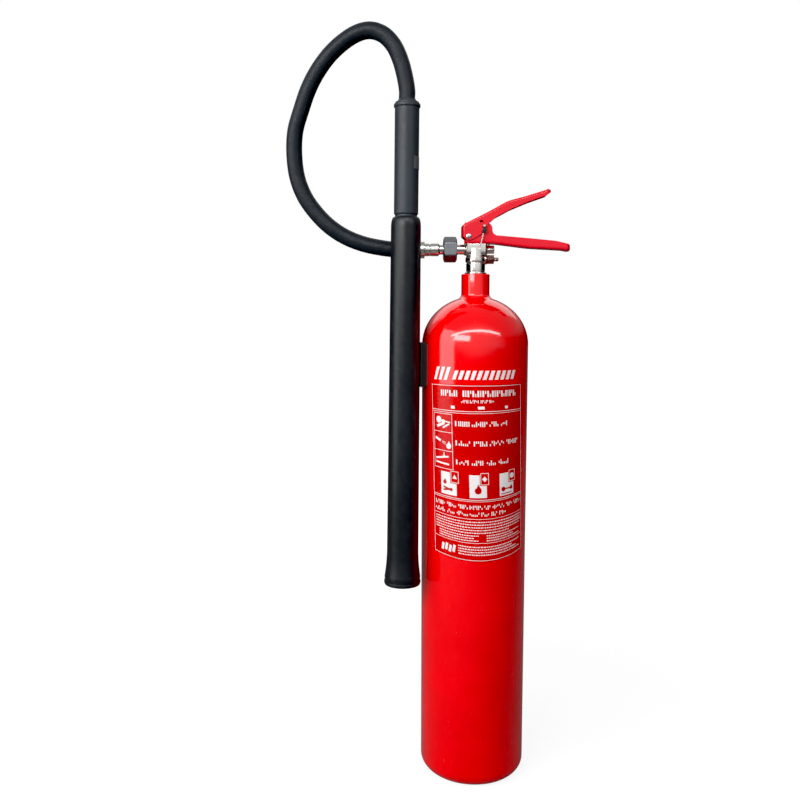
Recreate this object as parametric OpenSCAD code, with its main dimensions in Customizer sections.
// Carbon dioxide fire extinguisher: a seamless steel cylinder with a side-outlet valve, a squeeze
// lever over a carrying handle, and a looped hose that ends in a grip and a long discharge horn.
// Millimetres. The origin is the centre of the foot, on the cylinder's axis. +Z is up, +X is the
// way the handle points and -Y is the labelled front. The horn hangs on the -X side.

/* [Cylinder] */
// Outside diameter of the steel cylinder
cylinder_d = 136; // [134:1:138]
// Height of the straight wall above the floor
wall_top = 566; // [556:1:576]
// Height of the domed shoulder
dome_h = 62; // [58:1:66]
// Outside diameter of the neck
neck_d = 36; // [34:0.5:38]
// Height of the neck's top face above the floor
neck_top = 656; // [652:1:660]
// Thickness of the steel wall
steel = 4.5; // [4:0.1:5]

/* [Label] */
// Height of the label's top edge
label_top = 521; // [515:1:525]
// Height of the label's lower corners
label_bottom = 307; // [300:1:330]
// How far the lower edge bows down at its middle
label_bow = 9; // [4:1:14]
// Angle of the label's left edge, from the front
label_left = 56; // [45:1:60]
// Angle of the label's right edge, from the front
label_right = 52; // [45:1:60]

/* [Valve] */
// Diameter of the valve's thread in the cylinder's neck
valve_thread_d = 25; // [24.8:0.1:25.2]
// Height of the outlet's axis above the neck
outlet_h = 31; // [30:0.5:32]
// Width across the flats of the hose's union nut
union_af = 28.5; // [27:0.5:30]
// Diameter of the spindle that the lever presses
spindle_d = 7.8; // [7:0.1:8]
// How far the spindle stands above the neck, to the centre of its domed end
spindle_h = 63.3; // [62:0.1:63.3]

/* [Lever and handle] */
// Thickness of the pressed steel sheet
sheet = 1.8; // [1.5:0.1:2]
// Outside width of the carrying handle
handle_w = 22; // [20:0.5:22]
// Outside width of the squeeze lever
lever_w = 26.2; // [26.2:0.1:27]
// Diameter of the pivot rivet
rivet_d = 5; // [4.5:0.1:5]
// Diameter of the safety pin
pin_d = 4.4; // [4:0.1:4.6]
// Outside diameter of the pull ring
ring_d = 27; // [26:0.5:30]
// Squeeze travel of the lever
squeeze = 15; // [10:1:15]

/* [Hose] */
// Outside diameter of the hose
hose_d = 20; // [18:0.5:20]
// Outside diameter of the crimped ferrule
ferrule_d = 22; // [21.5:0.5:23]

/* [Horn] */
// Outside diameter of the grip
grip_d = 30; // [29:0.5:32]
// Length of the grip with its collar
grip_len = 137; // [130:1:140]
// Outside diameter of the horn just below its shoulder
horn_d = 37; // [36:0.5:38]
// Outside diameter of the horn where its bell starts
horn_low_d = 40; // [39:0.5:41]
// Outside diameter of the bell's bead
mouth_d = 46.8; // [45:0.2:48]
// Thickness of the horn's wall
horn_wall = 2.5; // [2:0.1:3]
// Sideways lean of the horn, in degrees
horn_lean = 0.55; // [0.4:0.05:0.7]

/* [Hidden] */
$fn = 64;

// Gaps
fit = 0.05;          // radial gap between a thread or shank and its hole
run = 0.06;          // radial gap of a part that slides or turns in a bore
clear = 0.3;         // gap between parts that move past each other
cyl_r = cylinder_d / 2;
neck_r = neck_d / 2;

// Foot of the cylinder: a flat ring round a dished base
foot_in = 44;
foot_out = 52;
dish = 14;
base_t = 6;
knuckle = cyl_r - foot_out;
dish_r = (foot_in * foot_in + dish * dish) / (2 * dish);
function dish_z(r) = dish - dish_r + sqrt(dish_r * dish_r - r * r);

// Shoulder: an ellipse that hands over to a fillet, which runs up into the neck
fillet = 7;
function dome(t, gap = 0) = [(cyl_r - gap) * cos(t), wall_top + (dome_h - gap) * sin(t)];
function dome_normal(t) = let (n = [cos(t) / cyl_r, sin(t) / dome_h]) n / norm(n);
function handover(t, steps) = steps == 0 ? t
    : handover(acos((neck_r + fillet - fillet * dome_normal(t)[0]) / cyl_r), steps - 1);
dome_end = handover(70, 6);
fillet_at = dome(dome_end) + fillet * dome_normal(dome_end);
outlet_z = neck_top + outlet_h;

// Heights in the valve, above the neck
thread_low = -30;
chamber_r = 7;
flange_low = 15;
seat_low = 20;
seat_high = 23;
block_low = 24;
gland_low = 33.5;
handle_z = 38;
hex_low = handle_z + sheet;
port_h = 18.6;
port_r = 4;
outlet_bore = 3.5;
block_right = 14;
blank_r = 3.5;
blank_depth = 5;

// Lever: pivot, safety pin and outline, measured from the neck's top
pivot = [-10, 47];
pin_at = [9.5, 59.4];
lever_top = [[-18.6, 61], [17.5, 79], [39, 91], [59, 96], [94, 106.6]];
lever_under = [
    [92.5, 101.5], [88.6, 98], [65.6, 90], [43.8, 81], [24.2, 70.6], [20, 66.8], [15.7, 64.3],
    [14.2, 61], [13, 56.8], [10.5, 53], [6.6, 50], [-4, 44]
];

// Handle: its upper edge with the ear's outline, and its lower edge
handle_top = [
    [119.5, 35.5], [116, 37.6], [99.7, 41.3], [66.5, 44.5], [25, 48], [21.4, 50.2], [20, 53.6],
    [19.8, 57.6], [18.6, 60.6], [16, 63], [12.5, 64.6], [8, 64.8], [3, 63.8], [0, 61.8], [-4, 58.5],
    [-9, 56], [-14, 53]
];
handle_under = [[-14, 38], [22.3, 38], [66, 32.4], [105, 30.3], [112, 30], [117, 28.6], [119.5, 28]];

// Safety pin and ring, along Y
pin_front = -16.5;
pin_head = [14.2, 21];
ring_y = 18;
ring_wire = 2;
ring_hole = 1.5;

// Hose: the centre line, from the ferrule's socket to the grip, measured from the outlet's height
hose_route = [
    [-90, 0, 0], [-100, 0, 0], [-119, 0, 2], [-143, 0, 7], [-166, 0, 16], [-186, -1, 29],
    [-203, -1, 46], [-217, -2, 66], [-226, -3, 90], [-229, -5, 118], [-227, -8, 145],
    [-219, -11, 170], [-210, -14, 193], [-199, -16, 213], [-184, -19, 232], [-167, -21, 247],
    [-149, -24, 257], [-132, -26, 260], [-116, -28, 254], [-104, -30, 241], [-96, -31, 224],
    [-91, -32, 206], [-88, -32, 189], [-88, -32, 179], [-88, -32, 169]
];
hose_start = -90;
hose_sides = 12;

// Horn group: heights along its own axis, from the outlet's height
horn_x = -89.4;
horn_y = -32;
horn_top = 37;
grip_low = horn_top + 2.5;
grip_top = horn_top + grip_len;
grip_bore = 12.3;
bush_seat = 5;
pipe_r = 7;
pipe_bore = 4.5;
pipe_low = 8;
pipe_high = 130;
horn_roof = 31;
bell_top = -380;
bell_low = -417;
mouth = -427;

// Clip that holds the horn to the cylinder's side
clip_low = 514;
clip_high = 570;
clip_gap = 0.7;
clip_t = 1.3;
clip_reach = 4;
clip_web = 12;
// The arm on the horn's far side ends this far left of the horn's axis
clip_far_arm = 17.2;
pad_t = 1.2;
clip_x = horn_x + (clip_low / 2 + clip_high / 2 - outlet_z) * tan(horn_lean);
clip_r = 19.2 + clip_gap;

red = [0.87, 0.03, 0.05];
nickel = [0.80, 0.78, 0.74];
zinc = [0.58, 0.60, 0.62];
brass = [0.80, 0.65, 0.32];
black = [0.09, 0.10, 0.11];

module at_neck() translate([0, 0, neck_top]) children();

// The outlet's axis, with the local Z axis pointing out of it along -X
module at_outlet() translate([0, 0, outlet_z]) rotate([0, -90, 0]) children();

// The far end of the outlet's drilling, on the block's right face, with local Z pointing out along +X
module at_blank() translate([block_right, 0, outlet_z]) rotate([0, 90, 0]) children();

// The bursting disc's port, with the local Z axis pointing out of it along +X
module at_port() translate([0, 0, neck_top + port_h]) rotate([0, 90, 0]) children();

module at_horn() translate([horn_x, horn_y, outlet_z]) rotate([0, horn_lean, 0]) children();

// A bar or hole along +Y from y0 to y1, at x and height z above the neck
module along_y(at, y0, y1, r) {
    at_neck() translate([at[0], y0, at[1]]) rotate([-90, 0, 0]) cylinder(r = r, h = y1 - y0);
}

// A side outline, drawn in X and Z, as a plate from y0 to y1
module plate(y0, y1) {
    at_neck() translate([0, y1, 0]) rotate([90, 0, 0]) linear_extrude(y1 - y0) children();
}

// A ring about the local Z axis from z0 to z1
module ring(z0, z1, outer, inner) {
    translate([0, 0, z0]) difference() {
        cylinder(r = outer, h = z1 - z0);
        translate([0, 0, -1]) cylinder(r = inner, h = z1 - z0 + 2);
    }
}

// A hexagonal bar, with a flat facing the local Y axis
module hex(af, h) cylinder(r = af / 2 / cos(30), h = h, $fn = 6);

// A strip along a line, t high
function strip(line, t) = concat(line, [for (i = [len(line) - 1:-1:0]) line[i] + [0, t]]);

function unit(v) = v / norm(v);
function heading(p, i) = unit(p[min(i + 1, len(p) - 1)] - p[max(i - 1, 0)]);
function circle_at(c, a, b, r, sides) =
    [for (k = [0:sides - 1]) c + r * (cos(360 * k / sides) * a + sin(360 * k / sides) * b)];

// A solid tube through rings of points, each with the same number of sides
module tube(rings) {
    n = len(rings[0]);
    last = len(rings) - 1;
    polyhedron(
        points = [for (r = rings) each r],
        faces = concat(
            [[for (k = [n - 1:-1:0]) k]],
            [for (i = [0:last - 1], k = [0:n - 1]) let (m = (k + 1) % n)
                each [[i * n + k, i * n + m, (i + 1) * n + m],
                      [i * n + k, (i + 1) * n + m, (i + 1) * n + k]]],
            [[for (k = [0:n - 1]) last * n + k]]
        )
    );
}

// ---- Cylinder ----

module steel_cylinder() {
    outer = concat(
        [for (i = [0:8]) let (r = foot_in * i / 8) [r, dish_z(r)]],
        [for (t = [-90:15:0]) [foot_out + knuckle * cos(t), knuckle + knuckle * sin(t)]],
        [for (i = [0:24]) dome(dome_end * i / 24)],
        [for (i = [1:6]) let (t = 180 + dome_end + 2 - (dome_end + 2) * i / 6)
            fillet_at + fillet * [cos(t), sin(t)]],
        [[neck_r, neck_top - 1], [neck_r - 1, neck_top]]
    );
    bore_r = valve_thread_d / 2;
    inner_end = acos(bore_r / (cyl_r - steel));
    inner_low = foot_out - steel;
    inner = concat(
        [[bore_r, neck_top]],
        [for (i = [16:-1:0]) dome(inner_end * i / 16, steel)],
        [for (t = [0:-15:-90]) [inner_low + knuckle * cos(t), base_t + 1 + knuckle * (1 + sin(t))]],
        [for (i = [7:-1:0]) let (r = 40 * i / 7) [r, dish_z(r) + base_t]]
    );
    color(red) rotate_extrude() polygon(concat(outer, inner));
}

module label() {
    film = 0.25;
    half = cyl_r + 1;
    color([0.78, 0.02, 0.03]) intersection() {
        translate([0, 0, label_bottom - label_bow])
            rotate([0, 0, -90 - label_left])
                rotate_extrude(angle = label_left + label_right)
                    translate([cyl_r, 0]) square([film, label_top - label_bottom + label_bow]);
        translate([0, -1, 0]) rotate([90, 0, 0]) linear_extrude(cyl_r + 2)
            polygon(concat(
                [[half, label_top], [-half, label_top]],
                [for (i = [-8:8]) let (a = i / 8)
                    [half * a, label_bottom - label_bow * (1 - a * a)]]
            ));
    }
}

module neck_washer() color(nickel) at_neck() ring(0, 2, 13.8, 12 + fit);

// ---- Valve ----

module valve_body() {
    thread_r = valve_thread_d / 2 - fit;
    color(nickel) difference() {
        union() {
            at_neck() {
                translate([0, 0, thread_low]) cylinder(r = thread_r, h = -thread_low);
                cylinder(r = 12, h = handle_z - 2);
                translate([0, 0, flange_low]) cylinder(r = 13, h = 6);
                translate([0, 0, block_low]) intersection() {
                    translate([-14.8, -10.5, 0]) cube([14.8 + block_right, 21, handle_z - block_low]);
                    cylinder(r = 15.6, h = handle_z - block_low);
                }
                translate([0, 0, handle_z - 1]) cylinder(r = 8, h = sheet + 0.8);
            }
            at_outlet() {
                translate([0, 0, 12]) cylinder(r = 6.25, h = 14);
                translate([0, 0, 24.6]) cylinder(r = 10.4, h = 9.9);
            }
            at_port() translate([0, 0, 9]) cylinder(r = 6.8, h = 3.5);
        }
        at_neck() {
            translate([0, 0, thread_low - 1]) cylinder(r = chamber_r, h = seat_low - thread_low + 1);
            translate([0, 0, seat_low - 1]) cylinder(r = 3.6, h = 6);
            translate([0, 0, seat_high]) cylinder(r = 4.5, h = 12);
            translate([0, 0, gland_low]) cylinder(r = 6 + fit, h = 10);
        }
        at_outlet() translate([0, 0, blank_depth - block_right])
            cylinder(r = outlet_bore, h = 40 + block_right - blank_depth);
        at_blank() translate([0, 0, -blank_depth - 0.2]) cylinder(r = blank_r + fit, h = 10);
        at_port() {
            translate([0, 0, 5]) cylinder(r = 1.8, h = 5);
            translate([0, 0, 7.6]) cylinder(r = port_r + fit, h = 8);
            // Spot face that the plug's flange seats on
            translate([0, 0, 12.5]) cylinder(r = 6.8, h = 5);
        }
    }
}

module dip_tube() {
    low = 22;
    color([0.75, 0.76, 0.78]) difference() {
        ring(low, neck_top - 20, 5, 3.5);
        translate([0, 0, low]) rotate([0, 40, 0]) translate([-20, -20, -20]) cube([40, 40, 20]);
    }
}

module spring_retainer() {
    color(brass) at_neck() difference() {
        translate([0, 0, thread_low]) cylinder(r = chamber_r - fit, h = 15);
        translate([0, 0, thread_low - 1]) cylinder(r = 5 + fit, h = 11);
        translate([0, 0, thread_low]) cylinder(r = 3.5, h = 20);
    }
}

module valve_spring() {
    low = thread_low + 15.8;
    high = 7.2;
    turns = 6;
    per_turn = 16;
    coil_r = 5.2;
    wire_r = 0.6;
    steps = turns * per_turn;
    climb = (high - low) / (360 * turns);
    color(zinc) at_neck() tube([for (i = [0:steps]) let (
        a = 360 * i / per_turn,
        out = [cos(a), sin(a), 0],
        along = unit([-sin(a), cos(a), climb * 180 / PI / coil_r])
    ) circle_at([0, 0, low + climb * a] + coil_r * out, out, cross(out, along), wire_r, 8)]);
}

module valve_plug() {
    color(brass) at_neck() translate([0, 0, 8]) difference() {
        cylinder(r = 6.2, h = 9.6);
        translate([0, 0, -1]) cylinder(r = 3.2, h = 6);
    }
}

module seat_disc() color([0.92, 0.91, 0.86]) at_neck() ring(17.6, seat_low - 0.15, 5.4, 2.6 + fit);

module spindle() {
    color(brass) at_neck() {
        translate([0, 0, 17.6]) cylinder(r = 2.6, h = 17);
        translate([0, 0, 33.7]) cylinder(d = spindle_d, h = spindle_h - 33.7);
        translate([0, 0, spindle_h]) sphere(d = spindle_d);
    }
}

module gland_nut() {
    groove = [35.4, 37.6];
    color(brass) at_neck() difference() {
        union() {
            translate([0, 0, gland_low + 0.1]) cylinder(r = 6, h = 7);
            translate([0, 0, hex_low]) hex(17, 4.4);
        }
        cylinder(r = spindle_d / 2 + run, h = 60);
        translate([0, 0, groove[0]]) cylinder(r = 5.5, h = groove[1] - groove[0]);
    }
}

module gland_seal() {
    wire_r = 0.7;
    color(black) at_neck() translate([0, 0, 36.5]) rotate_extrude()
        translate([spindle_d / 2 + 0.1 + wire_r, 0]) circle(r = wire_r);
}

// ---- Pressure relief port ----

module burst_washer() color([0.72, 0.45, 0.25]) at_port() ring(7.6, 8.2, port_r - 0.1, 1.9);

module burst_disc() color(zinc) at_port() translate([0, 0, 8.2]) cylinder(r = port_r - 0.1, h = 0.3);

module burst_plug() {
    color(nickel) at_port() difference() {
        union() {
            translate([0, 0, 8.5]) cylinder(r = port_r, h = 5);
            translate([0, 0, 12.5]) cylinder(r = 6.3, h = 1.6);
            translate([0, 0, 14.1]) rotate([0, 0, 30]) hex(11, 8.9);
            translate([0, 0, 22]) cylinder(r = 2.4, h = 7);
        }
        translate([0, 0, 8]) cylinder(r = 1.6, h = 18);
        for (a = [0:90:270]) rotate([0, 0, a]) translate([0, 0, 25.6]) rotate([90, 0, 0])
            cylinder(r = 0.8, h = 4, $fn = 24);
    }
}

// Closes the far end of the outlet's drilling
module blanking_plug() {
    head = 9.2;
    color(nickel) at_blank() {
        translate([0, 0, -blank_depth]) cylinder(r = blank_r, h = blank_depth + 1);
        rotate([0, 0, 30]) hex(10, head);
    }
}

// ---- Handle, lever and safety pin ----

module carry_handle() {
    wall = handle_w / 2;
    color(red) difference() {
        union() {
            for (y = [-wall, wall - sheet]) plate(y, y + sheet)
                polygon(concat(handle_under, handle_top));
            plate(-wall, wall) polygon(strip(handle_under, sheet));
            plate(-wall, wall) translate([119.5 - sheet, 28]) square([sheet, 7.5]);
        }
        at_neck() translate([0, 0, handle_z - 1]) cylinder(r = 8.2, h = 5);
        along_y(pivot, -20, 20, rivet_d / 2 + 0.02);
        along_y(pin_at, -20, 20, pin_d / 2 + run);
        along_y([7.5, 43.5], -20, 0, 1.3);
    }
}

module pivot_rivet() {
    head = lever_w / 2 + clear;
    head_r = 3.4;
    thick = 1.5;
    color(nickel) {
        along_y(pivot, -head - 1, head + 1, rivet_d / 2);
        along_y(pivot, -head - thick, -head, head_r);
        along_y(pivot, head, head + thick, head_r);
    }
}

module squeeze_lever() {
    wall = lever_w / 2;
    arm = pin_at - pivot;
    start = atan2(arm[1], arm[0]);
    slot_r = pin_d / 2 + 0.5;
    color(red) difference() {
        union() {
            for (y = [-wall, wall - sheet]) plate(y, y + sheet) difference() {
                union() {
                    polygon(concat(lever_top, lever_under, [[-10, 42], [-17.5, 46.5]]));
                    translate(pivot) circle(r = 5.4);
                }
                translate(pivot) circle(d = rivet_d + 2 * run);
                // The safety pin's slot follows the lever's swing
                hull() for (a = [0, squeeze])
                    translate(pivot + norm(arm) * [cos(start + a), sin(start + a)]) circle(r = slot_r);
            }
            plate(-wall, wall) polygon(strip(lever_top, -sheet * 1.12));
            plate(-wall, wall) polygon([
                [-18.6, 61], [-17.5, 46.5], [-17.5 + sheet, 46.5], [-18.6 + sheet, 61]
            ]);
        }
    }
}

module safety_pin() {
    color(zinc) difference() {
        union() {
            along_y(pin_at, pin_front, pin_head[0] + 1, pin_d / 2);
            along_y(pin_at, pin_head[0], pin_head[1], 3.2);
        }
        at_neck() translate([pin_at[0] - 10, ring_y, pin_at[1]]) rotate([0, 90, 0])
            cylinder(r = ring_hole, h = 20);
    }
}

module pull_ring() {
    coil_r = (ring_d - ring_wire) / 2;
    color(zinc) at_neck() translate([pin_at[0], ring_y, pin_at[1] - coil_r]) rotate([90, 0, 0])
        rotate_extrude() translate([coil_r, 0]) circle(d = ring_wire);
}

module tamper_seal() {
    front = -lever_w / 2 - 1;
    color([0.12, 0.12, 0.13]) {
        plate(front - 2.2, front) polygon([[6.4, 50.5], [11.6, 50.5], [12, 56.4], [6.8, 56.4]]);
        plate(front - 1.4, front - 0.2) polygon([[7.9, 52], [8.9, 52], [5, 35], [4, 35]]);
        along_y([7.5, 43.5], front - 1, -8, 0.6);
        along_y([7.5, 43.5], -8.6, -7.2, 1.6);
    }
}

// ---- Hose union ----

module union_nut() {
    color(zinc) at_outlet() difference() {
        translate([0, 0, 24.3]) hex(union_af, 16.9);
        translate([0, 0, 24]) cylinder(r = 10.4 + fit, h = 14.7);
        cylinder(r = 6.6, h = 60);
    }
}

module union_seal() color([0.90, 0.90, 0.86]) at_outlet() ring(34.5, 35.7, 9.5, 4);

module hose_tail() {
    color(nickel) at_outlet() difference() {
        union() {
            translate([0, 0, 36]) cylinder(r = 9.8, h = 2.3);
            translate([0, 0, 37]) cylinder(r = 6.25, h = 11);
            translate([0, 0, 47.3]) cylinder(r = 8.3, h = 17.9);
            translate([0, 0, 64]) cylinder(r = 5, h = -hose_start - 64);
        }
        translate([0, 0, 30]) cylinder(r = outlet_bore, h = 70);
    }
}

module hose_ferrule() {
    r = ferrule_d / 2;
    socket = -hose_start;
    color(nickel) at_outlet() difference() {
        translate([0, 0, 65.2]) cylinder(r = r, h = 30.8);
        translate([0, 0, 60]) cylinder(r = 5 + fit, h = 40);
        translate([0, 0, socket]) cylinder(d = hose_d + 0.4, h = 10);
        for (z = [72, 78, 84]) ring(z, z + 3, r + 1, r - 0.6);
    }
}

module hose() {
    route = [for (p = hose_route) p + [0, 0, outlet_z]];
    color(black) tube([for (i = [0:len(route) - 1]) let (
        along = heading(route, i),
        side = unit(cross(along, [0, 1, 0]))
    ) circle_at(route[i], side, cross(side, along), hose_d / 2, hose_sides)]);
}

// ---- Grip and horn ----

module grip_bush() {
    color(black) at_horn() difference() {
        union() {
            translate([0, 0, grip_top - bush_seat]) cylinder(r = grip_bore - 0.1, h = bush_seat);
            translate([0, 0, grip_top]) cylinder(r1 = 12, r2 = 11, h = 3);
        }
        translate([0, 0, grip_top - 10]) cylinder(d = hose_d + 0.8, h = 20);
    }
}

module grip() {
    r = grip_d / 2;
    color(black) at_horn() rotate_extrude() polygon([
        [pipe_r + 0.1, grip_low], [r - 1.2, grip_low], [r, grip_low + 1.5], [r, grip_top - 7],
        [r + 1.2, grip_top - 5.5], [r + 1.2, grip_top - 2.5],
        [r - 0.2, grip_top - 2], [r - 0.2, grip_top], [grip_bore, grip_top],
        [grip_bore, grip_low + 5.5], [pipe_r + 0.1, grip_low + 5.5]
    ]);
}

module horn_collar() color(black) at_horn() ring(horn_top, grip_low, grip_d / 2 - 1.2, pipe_r + 0.1);

module hose_coupling() {
    low = pipe_high - 12;
    high = grip_top - bush_seat - 0.2;
    color(nickel) at_horn() difference() {
        translate([0, 0, low]) cylinder(r = grip_bore - 0.1, h = high - low);
        translate([0, 0, low - 1]) cylinder(r = pipe_r + fit, h = pipe_high - low + 1);
        translate([0, 0, low]) cylinder(r = outlet_bore, h = 60);
    }
}

module discharge_pipe() color(zinc) at_horn() ring(pipe_low, pipe_high, pipe_r, pipe_bore);

module discharge_nozzle() {
    low = 4;
    color(brass) at_horn() difference() {
        union() {
            translate([0, 0, low]) cylinder(r1 = 6.5, r2 = 9, h = 8);
            translate([0, 0, low + 8]) hex(18, horn_roof - low - 8);
        }
        translate([0, 0, pipe_low]) cylinder(r = pipe_r + fit, h = 40);
        translate([0, 0, low - 1]) cylinder(r = 2, h = 10);
    }
}

module horn() {
    top_r = horn_d / 2;
    low_r = horn_low_d / 2;
    mouth_r = mouth_d / 2;
    t = horn_wall;
    color(black) at_horn() rotate_extrude() polygon(concat(
        [[pipe_r + 0.1, horn_top], [top_r - 3.5, horn_top]],
        [for (a = [15:15:90]) [top_r - 3.5 + 3.5 * sin(a), horn_top - 12 + 12 * cos(a)]],
        [for (i = [0:6]) let (s = i / 6)
            [low_r + (mouth_r - 0.4 - low_r) * s * s, bell_top + (bell_low - bell_top) * s]],
        [[mouth_r, bell_low - 3], [mouth_r, mouth + 2], [mouth_r - 0.8, mouth]],
        [[mouth_r - 0.4 - t, mouth]],
        [for (i = [6:-1:0]) let (s = i / 6)
            [low_r - t + (mouth_r - 0.4 - low_r) * s * s, bell_top + (bell_low - bell_top) * s]],
        [[top_r - t, horn_top - 15], [12, horn_roof], [pipe_r + 0.1, horn_roof]]
    ));
}

// ---- Horn clip ----

module clip_outline() {
    outer = clip_r + clip_t;
    toward = unit([-clip_x, -horn_y]);
    foot = norm([clip_x, horn_y]) - cyl_r;
    difference() {
        union() {
            translate([clip_x, horn_y]) {
                circle(r = outer);
                translate([-outer, -clip_reach]) square([2 * outer, clip_reach]);
                rotate(atan2(toward[1], toward[0])) translate([0, -clip_web / 2])
                    square([foot + 2, clip_web]);
            }
        }
        circle(r = cyl_r + pad_t);
        translate([clip_x, horn_y]) circle(r = clip_r);
        translate([clip_x - clip_r, horn_y - clip_reach - 30]) square([2 * clip_r, clip_reach + 30]);
        translate([clip_x - 2 * outer, horn_y - clip_reach - 40]) square([4 * outer, 40]);
        translate([clip_x - clip_far_arm - outer, horn_y - outer]) square([outer, 2 * outer]);
    }
}

module horn_clip() {
    color(black) translate([0, 0, clip_low]) linear_extrude(clip_high - clip_low) clip_outline();
}

module clip_pad() {
    facing = atan2(horn_y, clip_x);
    half = 4.8;
    color([0.2, 0.2, 0.21]) translate([0, 0, clip_low + 2]) rotate([0, 0, facing - half])
        rotate_extrude(angle = 2 * half) translate([cyl_r, 0])
            square([pad_t, clip_high - clip_low - 4]);
}

steel_cylinder();
label();
neck_washer();
valve_body();
dip_tube();
spring_retainer();
valve_spring();
valve_plug();
seat_disc();
spindle();
gland_nut();
gland_seal();
burst_washer();
burst_disc();
burst_plug();
blanking_plug();
carry_handle();
pivot_rivet();
squeeze_lever();
safety_pin();
pull_ring();
tamper_seal();
union_nut();
union_seal();
hose_tail();
hose_ferrule();
hose();
grip_bush();
grip();
horn_collar();
hose_coupling();
discharge_pipe();
discharge_nozzle();
horn();
horn_clip();
clip_pad();
